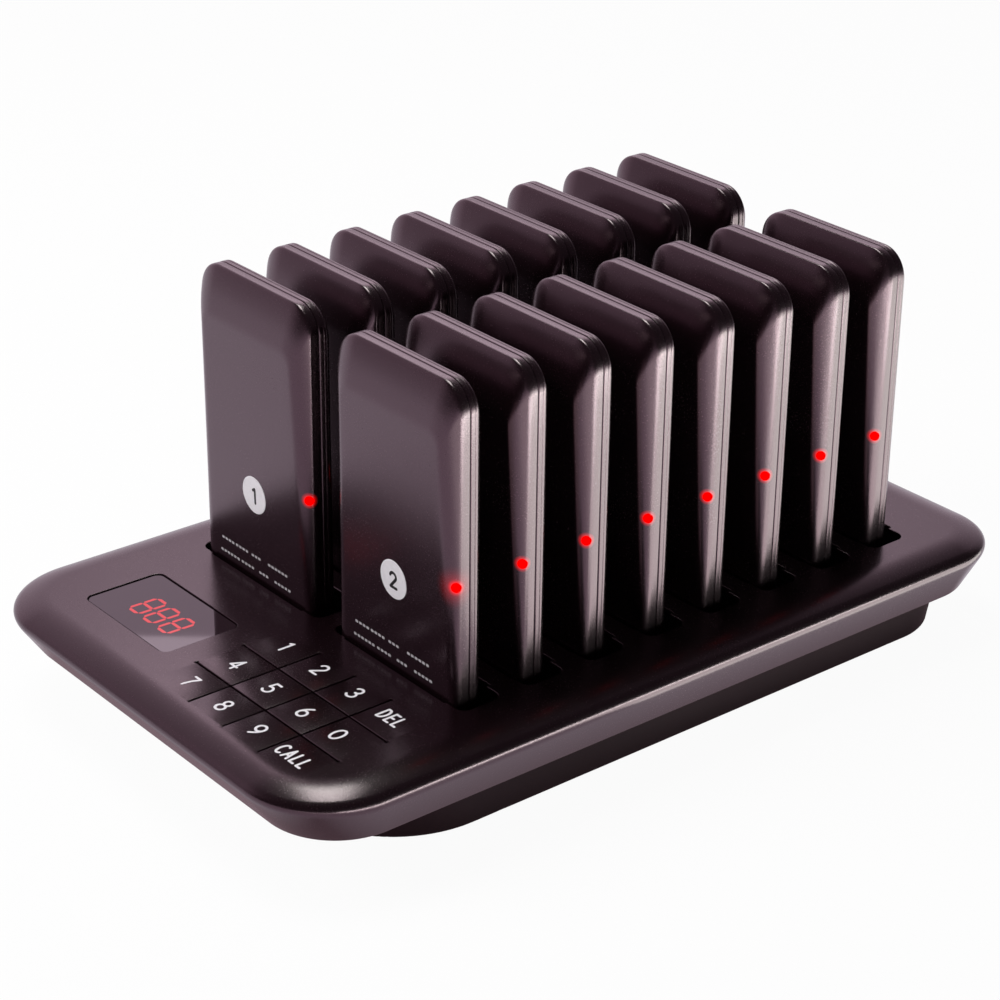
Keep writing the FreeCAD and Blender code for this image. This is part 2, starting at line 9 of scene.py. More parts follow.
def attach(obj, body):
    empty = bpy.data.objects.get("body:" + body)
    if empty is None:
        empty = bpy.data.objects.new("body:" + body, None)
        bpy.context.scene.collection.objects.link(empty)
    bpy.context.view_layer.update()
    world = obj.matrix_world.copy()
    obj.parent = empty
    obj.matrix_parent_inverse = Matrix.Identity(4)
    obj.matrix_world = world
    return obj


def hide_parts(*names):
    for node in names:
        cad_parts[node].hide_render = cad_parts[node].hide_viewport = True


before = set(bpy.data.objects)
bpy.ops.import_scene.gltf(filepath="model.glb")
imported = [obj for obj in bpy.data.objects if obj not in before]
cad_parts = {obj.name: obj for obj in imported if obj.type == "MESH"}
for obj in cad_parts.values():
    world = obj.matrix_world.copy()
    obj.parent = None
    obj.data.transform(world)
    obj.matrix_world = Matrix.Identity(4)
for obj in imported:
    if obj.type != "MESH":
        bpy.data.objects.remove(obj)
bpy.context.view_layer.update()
print("frame loaded:", len(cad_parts), "nodes")

mm = 0.001


# A vector, or each row of an array, scaled to length one.
def unit(v):
    return v / np.maximum(np.linalg.norm(v, axis=-1, keepdims=True), 1e-12)


# A closed loop: each corner is an arc of its own radius, tangent to both sides, and each
# straight side has extra points. Corners come as (x, y) pairs.
def roundLoop(corners, radii, arcSteps=6, sideSteps=0):
    c, r = np.array(corners, float), np.array(radii, float)[:, None]
    u, w = unit(np.roll(c, 1, 0) - c), unit(np.roll(c, -1, 0) - c)
    half = np.arccos(np.clip((u * w).sum(1, keepdims=True), -1, 1)) / 2
    centre = c + unit(u + w) * r / np.sin(half)
    start, end = c + u * r / np.tan(half) - centre, c + w * r / np.tan(half) - centre
    first = np.arctan2(start[:, 1], start[:, 0])
    sweep = (np.arctan2(end[:, 1], end[:, 0]) - first + np.pi) % (2 * np.pi) - np.pi
    angle = first[:, None] + sweep[:, None] * np.linspace(0, 1, arcSteps + 1)
    arcs = centre[:, None] + r[:, None] * np.stack([np.cos(angle), np.sin(angle)], 2)
    share = np.linspace(0, 1, sideSteps + 2)[1:-1][None, :, None]
    sides = arcs[:, -1:] * (1 - share) + np.roll(arcs[:, :1], -1, 0) * share
    return np.concatenate([arcs, sides], 1).reshape(-1, 2)


# The corners of a rectangle in the plane, anticlockwise from the lower left one.
def rectangle(x0, x1, y0, y1):
    return [(x0, y0), (x1, y0), (x1, y1), (x0, y1)]


# A plane loop as points in space: x and y stay, and every point gets the height z.
def atLevel(loop, z):
    return np.column_stack([loop, np.full(len(loop), z)])


creaseReach = {"shared": 0.48, "whole": 0.97}  # how much of the way to the next row a rounding takes


# Rows of a surface with its creases rounded: a crease row is swapped for a parabola that
# leaves the row before it and meets the row after it at the given setback, cut down to what the
# distance to either row leaves.
def softRows(rows, setbacks, steps=4):
    out = [rows[0]]
    for k in range(1, len(rows) - 1):
        if not setbacks[k]:
            out.append(rows[k])
            continue
        a, b = rows[k - 1] - rows[k], rows[k + 1] - rows[k]
        la, lb = np.linalg.norm(a, axis=1, keepdims=True), np.linalg.norm(b, axis=1, keepdims=True)
        la = la * creaseReach["shared" if setbacks[k - 1] else "whole"]
        lb = lb * creaseReach["shared" if setbacks[k + 1] else "whole"]
        s = np.minimum(setbacks[k], np.minimum(la, lb))
        start, end = rows[k] + unit(a) * s, rows[k] + unit(b) * s
        for t in np.linspace(0, 1, steps + 1):
            out.append((1 - t) ** 2 * start + 2 * t * (1 - t) * rows[k] + t * t * end)
    return out + [rows[-1]]


# Quads between neighbouring rows of a closed surface; caps close its first and last rows.
def ringPart(rows, capFirst=False, capLast=False):
    points = np.concatenate(rows)
    count, rings = len(rows[0]), len(rows)
    i = np.arange(count)
    j = (i + 1) % count
    k = np.arange(rings - 1)[:, None] * count
    quads = np.stack([k + i, k + j, k + count + j, k + count + i], 2).reshape(-1, 4).tolist()
    flats = [i[::-1].tolist()] if capFirst else []
    if capLast:
        flats.append((i + (rings - 1) * count).tolist())
    return points, quads, flats


# The plane cut into faces along the loops, with points closer than near merged. Kind 1 keeps what
# is inside any loop, and kind 2 leaves out the holes.
def fillLoops(loops, kind, near):
    flat = [tuple(p) for p in np.concatenate(loops)]
    marks = np.cumsum([0] + [len(loop) for loop in loops])
    rings = [list(range(marks[n], marks[n + 1])) for n in range(len(loops))]
    points, _, faces = delaunay_2d_cdt(flat, [], rings, kind, near)[:3]
    return np.array([tuple(p) for p in points]), faces


# A flat sheet at one height inside the outer loop and outside every hole.
def sheetPart(outer, holes, z, down=False):
    points, faces = fillLoops([outer] + [hole[::-1] for hole in holes], 2, 1e-7)
    return atLevel(points, z), [], [f[::-1] if down else f for f in faces]


# Several parts as one mesh object, scaled from millimetres to metres: rounded faces smooth, flat
# faces flat, and edges sharp where neighbours turn by more than sharpAngle degrees.
def makePiece(name, parts, material, body, replaced=(), closed=True, sharpAngle=38):
    points, faces, smooth, offset = [], [], [], 0
    for p, curved, flat in parts:
        points.append(p)
        for group, flag in ((curved, True), (flat, False)):
            faces += [[n + offset for n in f] for f in group]
            smooth += [flag] * len(group)
        offset += len(p)
    mesh = bpy.data.meshes.new(name)
    mesh.from_pydata((np.concatenate(points) * mm).tolist(), [], faces)
    mesh.polygons.foreach_set("use_smooth", smooth)
    made = bmesh.new()
    made.from_mesh(mesh)
    bmesh.ops.remove_doubles(made, verts=made.verts, dist=2e-7)
    if closed:
        bmesh.ops.recalc_face_normals(made, faces=made.faces)
    made.to_mesh(mesh)
    made.free()
    smooth = np.empty(len(mesh.polygons), bool)
    mesh.polygons.foreach_get("use_smooth", smooth)
    mesh.set_sharp_from_angle(angle=math.radians(sharpAngle))
    mesh.polygons.foreach_set("use_smooth", smooth)  # the line above clears the flat faces
    mesh.materials.append(material)
    obj = bpy.data.objects.new(name, mesh)
    bpy.context.scene.collection.objects.link(obj)
    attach(obj, body)
    if replaced:
        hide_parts(*replaced)
    return obj


# A short way to write shader maths: a Wire is one socket of a node tree.
class Wire:
    def __init__(self, tree, socket=None):
        self.tree, self.socket = tree, socket

    def add(self, kind, settings=None, inputs=None, output=0):
        node = self.tree.nodes.new(kind)
        for key, value in (settings or {}).items():
            setattr(node, key, value)
        for key, value in (inputs or {}).items():
            if isinstance(value, Wire):
                self.tree.links.new(value.socket, node.inputs[key])
            else:
                node.inputs[key].default_value = value
        return Wire(self.tree, node.outputs[output] if node.outputs else None)

    def maths(self, operation, *others):
        return self.add("ShaderNodeMath", {"operation": operation}, dict(enumerate((self,) + others)))

    def __add__(self, other): return self.maths("ADD", other)
    def __mul__(self, other): return self.maths("MULTIPLY", other)
    def __sub__(self, other): return self.maths("SUBTRACT", other)
    def __rsub__(self, other): return self * -1.0 + other
    def __truediv__(self, other): return self.maths("DIVIDE", other)
    def __pow__(self, other): return self.maths("POWER", other)
    def clamped(self): return self.maths("MAXIMUM", 0.0).maths("MINIMUM", 1.0)

    __radd__, __rmul__ = __add__, __mul__

    def mixColour(self, first, second):
        return self.add("ShaderNodeMix", {"data_type": "RGBA"}, {0: self, 6: first, 7: second}, 2)


# An empty material, a first wire in its tree, and the wire of each point's place on its object.
def newMaterial(name):
    material = bpy.data.materials.new(name)
    material.use_nodes = True
    material.node_tree.nodes.clear()
    wire = Wire(material.node_tree)
    return material, wire, wire.add("ShaderNodeTexCoord", output="Object")


# The material's shader with its inputs, joined to the output.
def finishMaterial(wire, inputs):
    shader = wire.add("ShaderNodeBsdfPrincipled", None, inputs)
    wire.add("ShaderNodeOutputMaterial", None, {"Surface": shader})


# Smooth random values around a half, with scale waves to the metre.
def noise(wire, place, scale, detail=2.0, rough=0.5):
    return wire.add("ShaderNodeTexNoise", None,
                    {"Vector": place, "Scale": scale, "Detail": detail, "Roughness": rough})


# A tone times a factor, with full opacity.
def shade(tone, factor=1.0):
    return tuple(factor * t for t in tone) + (1.0,)


plastic = {"tone": (0.0042, 0.0015, 0.0023), "light": (0.0078, 0.0032, 0.0045), "ior": 1.70,
           "pagerIor": 1.78, "tint": (1.0, 0.65, 0.79, 1.0), "rough": 0.24}


grain = {  # of moulded plastic: waves to the metre, then how much each one shows
    "driftScale": 38.0, "fineScale": 2300.0, "speckScale": 3100.0,
    "driftTone": 0.9, "speckFrom": 0.62, "speckSharp": 9.0, "speckTone": 0.3,
    "driftRough": 0.05, "fineRough": 0.18, "bump": 0.4, "bumpDeep": 0.00004,
}


# Moulded plastic: the colour drifts slowly between two tones, with specks where a fine noise is
# above speckFrom, and a fine spark-eroded grain moves the roughness and the bump.
def mouldedPlastic(name, tone, light, rough, ior=1.5, tint=(1, 1, 1, 1), glow=None):
    material, wire, place = newMaterial(name)
    drift = noise(wire, place, grain["driftScale"], 3.0)
    fine = noise(wire, place, grain["fineScale"], 2.0, 0.6)
    speck = (noise(wire, place, grain["speckScale"], 1.0) - grain["speckFrom"]) * grain["speckSharp"]
    blend = ((drift - 0.5) * grain["driftTone"] + 0.5 + speck.clamped() * grain["speckTone"]).clamped()
    bump = wire.add("ShaderNodeBump", None, {"Strength": grain["bump"], "Distance": grain["bumpDeep"],
                                             "Height": fine})
    inputs = {"Base Color": blend.mixColour(shade(tone), shade(light)),
              "Roughness": (fine - 0.5) * grain["fineRough"] + (drift - 0.5) * grain["driftRough"] + rough,
              "Normal": bump, "IOR": ior, "Specular Tint": tint}
    if glow:
        inputs["Emission Color"] = glow(wire, place)
        inputs["Emission Strength"] = 1.0
    finishMaterial(wire, inputs)
    return material


# Printed ink: nearly even, with a noise that darkens the tone slightly and moves the roughness.
def printedInk(name, tone, rough=0.5):
    material, wire, place = newMaterial(name)
    mottle = noise(wire, place, 900.0)
    finishMaterial(wire, {"Base Color": (mottle * 0.8).clamped().mixColour(shade(tone), shade(tone, 0.86)),
                          "Roughness": (mottle - 0.5) * 0.15 + rough})
    return material


# Lit red plastic: black in itself, and its own light varies a little with a noise.
def litRed(name, tone, rough, ior):
    material, wire, place = newMaterial(name)
    even = (noise(wire, place, 700.0, 1.0) * 0.3).clamped()
    finishMaterial(wire, {"Base Color": (0.02, 0.0, 0.0, 1.0), "Roughness": rough, "IOR": ior,
                          "Emission Color": even.mixColour(shade(tone), shade(tone, 0.9)),
                          "Emission Strength": 1.0})
    return material


# Polished plastic: a smooth dark gloss, with a slow haze in the tone and the roughness.
def polishedPlastic(name, tone, rough, ior, tint):
    material, wire, place = newMaterial(name)
    haze = noise(wire, place, 120.0, 3.0)
    finishMaterial(wire, {"Base Color": haze.mixColour(shade(tone), shade(tone, 1.3)), "IOR": ior,
                          "Specular Tint": tint,
                          "Roughness": (haze - 0.5) * 0.02 + rough})
    return material


# Metal: one tone that a fine noise darkens slightly and roughens.
def metal(name, tone, rough):
    material, wire, place = newMaterial(name)
    brushed = noise(wire, place, 1400.0)
    finishMaterial(wire, {"Base Color": brushed.mixColour(shade(tone), shade(tone, 0.85)),
                          "Metallic": 1.0, "Roughness": (brushed - 0.5) * 0.2 + rough})
    return material


# The plastic of the cover, the keys and the pagers: one pair of tones, with its own gloss.
def basePlastic(name, ior, glow=None):
    return mouldedPlastic(name, plastic["tone"], plastic["light"], plastic["rough"], ior,
                          tint=plastic["tint"], glow=glow)


paint = {
    "cover": basePlastic("coverPlastic", plastic["ior"]),
    "tub": mouldedPlastic("tubPlastic", (0.024, 0.0085, 0.0130), (0.036, 0.0145, 0.0205), 0.6, 1.2),
    "rack": mouldedPlastic("rackPlastic", (0.004, 0.003, 0.0035), (0.008, 0.006, 0.007), 0.6, 1.35),
    "window": polishedPlastic("windowPlastic", (0.009, 0.0045, 0.006), 0.03, 1.72,
                              (1.0, 0.78, 0.92, 1.0)),
    "digits": litRed("displayRed", (0.74, 0.045, 0.055), 0.05, 1.5),
    "lamp": litRed("lampRed", (1.15, 0.0, 0.0), 0.5, 1.0),
    "white": printedInk("whiteInk", (0.92, 0.90, 0.93)),
    "grey": printedInk("greyInk", (0.60, 0.58, 0.60)),
    "black": printedInk("blackInk", (0.008, 0.006, 0.008)),
    "brass": metal("contactBrass", (0.80, 0.60, 0.30), 0.28),
    "steel": metal("screwSteel", (0.55, 0.55, 0.56), 0.35),
    "copper": metal("antennaWire", (0.72, 0.42, 0.26), 0.35),
    "board": mouldedPlastic("circuitBoard", (0.012, 0.09, 0.035), (0.02, 0.13, 0.05), 0.35),
    "rubber": mouldedPlastic("footRubber", (0.010, 0.010, 0.010), (0.018, 0.018, 0.018), 0.75),
    "ribbon": mouldedPlastic("ribbonPlastic", (0.36, 0.36, 0.34), (0.46, 0.46, 0.43), 0.5),
    "dark": mouldedPlastic("switchPlastic", (0.014, 0.014, 0.015), (0.024, 0.024, 0.026), 0.45),
}
print("materials made:", len(paint))

base = {  # the charging base, in millimetres
    "top": 32.0, "under": 29.8, "halfWidth": 84.0, "halfLength": 137.0,
    "rimDrop": 3.4, "roll": 12.0, "rollEnd": 3.2, "rollRows": 12, "rimRound": 3.4, "rimInside": 1.1,
    "frontCorner": 28.0, "backCorner": 23.0, "arcSteps": 26, "sideSteps": 14, "softSteps": 8,
    "footHeight": 15.6, "footSide": 5.0, "footFront": 9.0, "footBack": 6.0, "footCorner": 22.0,
    "wall": 2.2, "wallRound": 1.5, "footRound": 0.6, "slotEdge": 0.35, "edgeBend": 0.3,
}


# A level outline of the base, drawn in from the rim by its own amount on each side.
def baseLoop(side, front, back, frontCorner, backCorner, z):
    w, l = base["halfWidth"], base["halfLength"]
    corners = rectangle(-w + side, w - side, -l + front, l - back)
    radii = [frontCorner, frontCorner, backCorner, backCorner]
    return atLevel(roundLoop(corners, radii, base["arcSteps"], base["sideSteps"]), z)


# The rim's outline, drawn in evenly: each corner's radius shrinks by the same inset.
def rimLoop(inset, z):
    return baseLoop(inset, inset, inset, base["frontCorner"] - inset, base["backCorner"] - inset, z)


# The outline of the skirt's foot, in from the rim by its own amount on each side.
def footLoop(inset, z):
    return baseLoop(base["footSide"] + inset, base["footFront"] + inset, base["footBack"] + inset,
                    base["footCorner"] - inset, base["footCorner"] - inset, z)


slot = {"halfWidth": 30.45, "notchHalf": 23.25, "front": -8.0, "back": 8.0, "frontNotch": 0.6,
        "backNotch": 1.4, "corner": 3.0, "tight": 0.14, "frontTurn": 0.25, "backTurn": 0.4,
        "arcSteps": 5}


# A pager's slot, grown outwards: a rounded rectangle, longer where the raised panels pass.
def slotLoop(x, y, grow):
    a, n = slot["halfWidth"] + grow, slot["notchHalf"] + grow
    f, b = slot["front"] - grow, slot["back"] + grow
    f2, b2 = f + slot["frontNotch"], b - slot["backNotch"]
    right = [(n, f), (n, f2), (a, f2), (a, b2), (n, b2), (n, b)]
    radii = [slot["frontTurn"], slot["tight"], slot["corner"] + grow, slot["corner"] + grow,
             slot["tight"], slot["backTurn"]]
    left = [(-p, q) for p, q in reversed(right)]
    loop = roundLoop(right + left, radii + radii[::-1], slot["arcSteps"])
    return loop + np.array([x, y])


keypad = {"left": -3.3, "front": -124.9, "width": 16.78, "depths": [14.0, 16.0, 14.0], "slit": 0.62,
          "edge": 0.22, "reliefHalf": 0.56, "reliefDeep": 0.7, "short": 0.05,
          "postRadius": 1.5, "postLong": 3.1, "ribIn": 2.6, "ribHalf": 0.6, "ribTurn": 0.3,
          "ribLong": 1.2, "rooted": 0.4,
          "names": [["7", "8", "9", "call"], ["4", "5", "6", "0"], ["1", "2", "3", "del"]]}
keypad["right"] = keypad["left"] + 4 * keypad["width"]
keypad["back"] = keypad["front"] + sum(keypad["depths"])
keypad["corner"] = np.linspace(0, 1, 9)[1:]  # stations across the part of CALL that the arc bends


# The keypad's front edge: straight, and drawn back along the flat top's rounded corner, an arc
# about the rim's own corner centre.
def frontEdge(x):
    across = np.maximum(x - (base["halfWidth"] - base["frontCorner"]), 0)
    radius = base["frontCorner"] - base["roll"] - keypad["short"]
    arc = base["frontCorner"] - base["halfLength"] - np.sqrt(radius ** 2 - across ** 2)
    return np.maximum(keypad["front"], arc)


# Stations along the last key's front edge, where that arc bends it.
def cornerStations():
    start = base["halfWidth"] - base["frontCorner"]
    return start + (keypad["right"] - start) * keypad["corner"]


# The keypad's opening: a sharp rectangle with a small relief pocket at the end of each slit,
# which grow widens.
def keypadLoop(grow):
    x0, x1, y0, y1 = keypad["left"], keypad["right"], keypad["front"], keypad["back"]
    h, d = keypad["reliefHalf"] + grow, keypad["reliefDeep"] + grow
    xs = [x0 + n * keypad["width"] for n in (1, 2, 3)]
    ys = [y0 + keypad["depths"][0], y0 + keypad["depths"][0] + keypad["depths"][1]]
    corners = [(x0, y0)]
    for x in xs:
        corners += [(x - h, y0), (x - h, y0 - d), (x + h, y0 - d), (x + h, y0)]
    corners += [(x, float(frontEdge(x))) for x in cornerStations()]
    for y in ys:
        corners += [(x1, y - h), (x1 + d, y - h), (x1 + d, y + h), (x1, y + h)]
    corners.append((x1, y1))
    for x in xs[::-1]:
        corners += [(x + h, y1), (x + h, y1 + d), (x - h, y1 + d), (x - h, y1)]
    corners.append((x0, y1))
    for y in ys[::-1]:
        corners += [(x0, y + h), (x0 - d, y + h), (x0 - d, y - h), (x0, y - h)]
    return np.array(corners)


window = {"x": -35.1, "y": -102.45, "halfWidth": 21.2, "halfDepth": 12.9, "corner": 2.4, "gap": 0.4,
          "sunk": 0.34, "thick": 1.5, "ledge": 2.0, "edge": 0.1, "mostTightened": -1.5, "arcSteps": 10}


# The window's outline, grown outwards, with corner radii that grow or shrink with it.
def windowLoop(grow):
    x, y, a, b = window["x"], window["y"], window["halfWidth"] + grow, window["halfDepth"] + grow
    radius = window["corner"] + max(grow, window["mostTightened"])
    return roundLoop(rectangle(x - a, x + a, y - b, y + b), [radius] * 4, window["arcSteps"])


pager = {  # one pager, upright, x across, y from face to back, z up from its foot
    "width": 54.5, "height": 108.0, "corner": 8.5, "frontBand": 3.0, "rearBand": 2.4, "gap": 0.14,
    "panelTop": 4.1, "panelFoot": 1.45, "insetTop": 5.3, "insetFoot": 2.1, "panelDrop": 14.0,
    "panelLift": 3.0, "panelCorner": 4.5, "backProud": 4.05, "backInset": 5.4, "backDrop": 8.0,
    "wall": 1.8, "bandRound": 0.85, "backRound": 0.5, "creaseRound": 1.4, "bulge": 0.65, "swellRows": 7,
    "grooveWide": 0.22, "grooveDeep": 0.28, "grooveRound": 0.12,
    "lineAt": 0.85, "lineHalf": 0.16, "lineDeep": 0.09, "lineRound": 0.06,
    "inside": 0.3, "capInset": 4.0, "lipGap": 0.15, "lipStep": 0.8, "lipDeep": 1.5,
    "arcSteps": 12, "sideSteps": 10,
    "floor": 18.4, "firstRow": -61.9, "pitch": 23.0, "column": 33.95, "rows": 8,
    "lampHeight": 49.9, "lampShare": 0.29, "lampRadius": 1.45, "lampBlur": 1.3, "lampRise": 0.9,
}


# Each pager's number, x and y: the rows are one pitch apart, odd numbers on the left.
def pagerPlaces():
    return [(2 * row + (1 if side < 0 else 2), side * pager["column"],
             pager["firstRow"] + row * pager["pitch"])
            for row in range(pager["rows"]) for side in (-1, 1)]


# The top of an opening in the cover: from the wide outline down to the true one over a small
# rounded edge.
def openingRows(wide, true, edge):
    top, share = base["top"], base["edgeBend"]
    return [atLevel(wide, top), atLevel(share * wide + (1 - share) * true, top - share * edge),
            atLevel(true, top - edge)]


# The cover: rolled border, rim and skirt as one ring, a flat top pierced by the openings, and
# the inside of the wall. The roll's height is a parabola that meets the flat top level.
def makeTopCover():
    top, under, roll = base["top"], base["under"], base["roll"]
    rows = [rimLoop(s, top - base["rimDrop"] * (1 - s / roll) ** 2)
            for s in np.linspace(roll, base["rollEnd"], base["rollRows"])]
    setbacks = [0] * len(rows)
    rows += [rimLoop(0, top - base["rimDrop"]), footLoop(0, base["footHeight"]),
             footLoop(base["wall"], base["footHeight"]),
             rimLoop(base["wall"], top - base["rimDrop"] - base["rimInside"]),
             rimLoop(roll - base["wall"], under)]
    setbacks += [base["rimRound"], base["footRound"], base["footRound"] / 2, base["wallRound"], 0]
    parts = [ringPart(softRows(rows, setbacks, base["softSteps"]))]
    edge, openings = base["slotEdge"], []
    for _, x, y in pagerPlaces():
        openings.append((slotLoop(x, y, edge), slotLoop(x, y, 0), edge))
    openings.append((keypadLoop(keypad["edge"]), keypadLoop(0), keypad["edge"]))
    for wide, true, edge in openings:
        parts.append(ringPart(openingRows(wide, true, edge) + [atLevel(true, under)]))
    seat, gap = top - window["sunk"] - window["thick"], window["gap"]
    wide, true, ledge = windowLoop(gap + window["edge"]), windowLoop(gap), windowLoop(-window["ledge"])
    parts.append(ringPart(openingRows(wide, true, window["edge"])
                          + [atLevel(true, seat), atLevel(ledge, seat), atLevel(ledge, under)]))
    upper, lower = [opening[0] for opening in openings], [opening[1] for opening in openings]
    parts.append(sheetPart(rows[0][:, :2], upper + [wide], top))
    parts.append(sheetPart(rows[-1][:, :2], lower + [ledge], under, True))
    return makePiece("topCover", parts, paint["cover"], "base", ["top_cover"])


makeTopCover()
print("top cover made")


# A key: its top sinks by a quarter round along the slits only, so the uncut edges stay level
# with the cover. Ribs and the post that works the switch are under it.
def makeKey(name, column, row):
    e = keypad["edge"]
    x0 = keypad["left"] + column * keypad["width"]
    y0 = keypad["front"] + sum(keypad["depths"][:row])
    xs, dropX = keyRun(x0, x0 + keypad["width"], column > 0, column < 3)
    if column == 3:
        xs = np.concatenate([xs[:-1], cornerStations()])
        dropX = np.append(dropX[:-1], np.zeros(len(keypad["corner"])))
    ys, dropY = keyRun(y0, y0 + keypad["depths"][row], row > 0, row < 2)
    gx, gy = np.meshgrid(xs, ys)
    if row == 0:
        gy[0] = frontEdge(xs)
    drop = np.minimum(np.hypot(dropX[None, :], dropY[:, None]), e)
    top = np.column_stack([gx.ravel(), gy.ravel(), base["top"] - drop.ravel()])
    nx, ny = len(xs), len(ys)
    i, j = np.meshgrid(np.arange(nx - 1), np.arange(ny - 1))
    corner = (j * nx + i).ravel()
    quads = np.stack([corner, corner + 1, corner + nx + 1, corner + nx], 1).tolist()
    rim = list(range(nx)) + [n * nx + nx - 1 for n in range(1, ny)]
    rim += [(ny - 1) * nx + n for n in range(nx - 2, -1, -1)] + [n * nx for n in range(ny - 2, 0, -1)]
    low = top[rim].copy()
    low[:, 2] = base["under"]
    walls = [[rim[n], rim[n - 1], len(top) + n - 1 if n else len(top) + len(rim) - 1, len(top) + n]
             for n in range(len(rim))]
    floor = [list(range(len(top) + len(rim) - 1, len(top) - 1, -1))]
    parts = [(np.concatenate([top, low]), quads, walls + floor)]
    cx, cy = x0 + keypad["width"] / 2, y0 + keypad["depths"][row] / 2
    angle = np.linspace(0, 2 * np.pi, 25)[:-1]
    radius, inner, root = keypad["postRadius"], keypad["ribIn"], base["under"] + keypad["rooted"]
    post = np.column_stack([cx + radius * np.cos(angle), cy + radius * np.sin(angle)])
    under = [(post, keypad["postLong"])]
    lx, ly = (xs[-1] - xs[0]) / 2 - inner, (ys[-1] - ys[0]) / 2 - inner
    for a, b in ((keypad["ribHalf"], ly), (lx, keypad["ribHalf"])):
        rib = roundLoop(rectangle(cx - a, cx + a, cy - b, cy + b), [keypad["ribTurn"]] * 4, 3)
        under.append((rib, keypad["ribLong"]))
    for loop, long in under:
        parts.append(ringPart([atLevel(loop, root), atLevel(loop, base["under"] - long)], True, True))
    makePiece("keyTop_" + name, parts, paint["cover"], "key_" + name, ["key_" + name])


# Stations across a key and how far the top has sunk at each: a quarter circle at a cut edge.
def keyRun(low, high, cutLow, cutHigh):
    half, e = keypad["slit"] / 2, keypad["edge"]
    turn = np.linspace(0, np.pi / 2, 5)
    inwards, sunk = e * (1 - np.cos(turn)), e * (1 - np.sin(turn))
    a, b = low + (half if cutLow else 0), high - (half if cutHigh else 0)
    starts = (a + inwards, sunk) if cutLow else (np.array([a]), np.zeros(1))
    ends = (b - inwards[::-1], sunk[::-1]) if cutHigh else (np.array([b]), np.zeros(1))
    return np.concatenate([starts[0], ends[0]]), np.concatenate([starts[1], ends[1]])


# Part of an ellipse, between two angles in degrees.
def bow(cx, cy, rx, ry, start, end):
    a = np.radians(np.linspace(start, end, 15))
    return np.column_stack([cx + rx * np.cos(a), cy + ry * np.sin(a)])


# A parabola from the first point to the last, drawn towards the middle one.
def bend(a, b, c):
    t = np.linspace(0, 1, 12)[:, None]
    return (1 - t) ** 2 * np.array(a) + 2 * t * (1 - t) * np.array(b) + t * t * np.array(c)


# A whole ellipse as two halves that overlap by 16 degrees, because a stroke has two ends.
def ring(cx, cy, rx, ry):
    return [bow(cx, cy, rx, ry, -8, 188), bow(cx, cy, rx, ry, 172, 368)]


# Straight strokes from each point to the next.
def line(*points):
    return [np.array([a, b], float) for a, b in zip(points[:-1], points[1:])]


glyphs = {  # the strokes of each figure and letter, one unit high
    "0": ring(0.25, 0.5, 0.25, 0.5),
    "1": line((0.10, 0.87), (0.27, 1.0), (0.27, 0.0)),
    "2": [bow(0.25, 0.74, 0.23, 0.26, 168, -38)] + line((0.43, 0.58), (0.02, 0.0), (0.50, 0.0)),
    "3": [bow(0.22, 0.76, 0.22, 0.24, 155, -90), bow(0.21, 0.26, 0.26, 0.26, 90, -150)],
    "4": line((0.37, 0.0), (0.37, 1.0), (0.0, 0.30), (0.52, 0.30)),
    "5": line((0.46, 1.0), (0.12, 1.0), (0.06, 0.57)) + [bow(0.22, 0.30, 0.26, 0.30, 122, -145)],
    "6": ring(0.25, 0.30, 0.25, 0.30) + [bend((0.0, 0.32), (0.04, 0.72), (0.36, 1.0))],
    "7": line((0.0, 1.0), (0.48, 1.0)) + [bend((0.48, 1.0), (0.22, 0.60), (0.17, 0.0))],
    "8": ring(0.25, 0.765, 0.205, 0.235) + ring(0.25, 0.265, 0.25, 0.265),
    "9": ring(0.25, 0.70, 0.25, 0.30) + [bend((0.50, 0.68), (0.46, 0.28), (0.14, 0.0))],
    "A": line((0.0, 0.0), (0.26, 1.0), (0.52, 0.0)) + line((0.10, 0.33), (0.42, 0.33)),
    "C": [bow(0.29, 0.5, 0.29, 0.5, 52, 308)],
    "D": line((0.0, 0.0), (0.0, 1.0), (0.16, 1.0)) + [bow(0.16, 0.5, 0.33, 0.5, 90, -90)]
         + line((0.16, 0.0), (0.0, 0.0)),
    "E": line((0.42, 1.0), (0.0, 1.0), (0.0, 0.0), (0.42, 0.0)) + line((0.0, 0.52), (0.37, 0.52)),
    "L": line((0.0, 1.0), (0.0, 0.0), (0.40, 0.0)),
}


# A stroke's outline: its line moved half its thickness to both sides, with round ends.
def strokeLoop(points, half):
    along = unit(np.gradient(points, axis=0))
    across = np.column_stack([-along[:, 1], along[:, 0]])
    turn = np.linspace(0, np.pi, 7)[1:-1, None]
    tip = points[-1] + half * (np.cos(turn) * across[-1] + np.sin(turn) * along[-1])
    tail = points[0] - half * (np.cos(turn) * across[0] + np.sin(turn) * along[0])
    return np.concatenate([points + half * across, tip, (points - half * across)[::-1], tail])


# Words as one flat mesh centred on the origin: the strokes of every letter, merged where they
# cross. A triangle stays where its middle is within half a stroke of a centre-line.
def writing(words, height, thick, widen=1.0, space=0.17):
    loops, cores, x = [], [], 0.0
    for letter in words:
        strokes = glyphs[letter]
        width = max(s[:, 0].max() for s in strokes)
        for s in strokes:
            core = (s * np.array([widen, 1]) + np.array([x, 0])) * (height - thick)
            loops.append(strokeLoop(core, thick / 2))
            cores.append(core)
        x += width * widen + space + thick / height
    points, faces = fillLoops(loops, 1, 1e-6)
    middles = points[np.array([list(f) for f in faces])].mean(1)
    starts, ends = np.concatenate([c[:-1] for c in cores]), np.concatenate([c[1:] for c in cores])
    run, away = ends - starts, middles[:, None] - starts
    share = np.clip((away * run).sum(2) / (run * run).sum(1), 0, 1)[..., None]
    inked = np.linalg.norm(away - share * run, axis=2).min(1) < thick / 2
    faces = [f for f, keep in zip(faces, inked) if keep]
    return points - (points.min(0) + points.max(0)) / 2, faces


